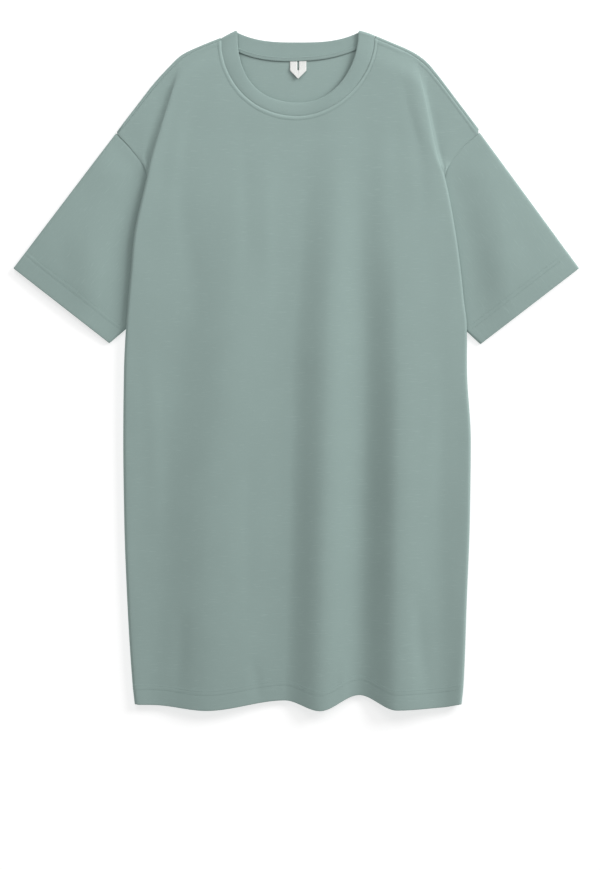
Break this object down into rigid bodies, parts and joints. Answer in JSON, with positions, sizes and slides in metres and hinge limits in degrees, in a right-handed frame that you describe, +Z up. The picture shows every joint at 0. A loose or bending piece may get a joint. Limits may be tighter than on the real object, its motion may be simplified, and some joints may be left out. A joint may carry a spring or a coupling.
{
  "type": "t-shirt dress",
  "caption": "Plain oversized t-shirt dress of heavy cotton jersey, laid flat on its back, with a rib crew neck, drop shoulders and short wide sleeves.",
  "frame": {"origin": "centre of the laid-out dress's box, on the surface that it lies on", "axes": "+Z up from the surface, +Y toward the neck, +X to the right as seen from above with the neck up"},
  "size_m": [0.7912, 0.951, 0.0217],
  "materials": {
    "jersey": "heavy cotton single jersey, sage green, matt and smooth with a faint cross-wise slub",
    "rib": "fine cotton rib in the same sage green, folded double, matt",
    "twill": "white cotton twill tape, matt, blank"
  },
  "bodies": {
    "root": {"back": "jersey", "front": "jersey", "sleeve_left": "jersey", "sleeve_right": "jersey", "neckband": "rib", "neck_tape": "jersey", "hanger_loop": "twill"}
  },
  "joints": []
}
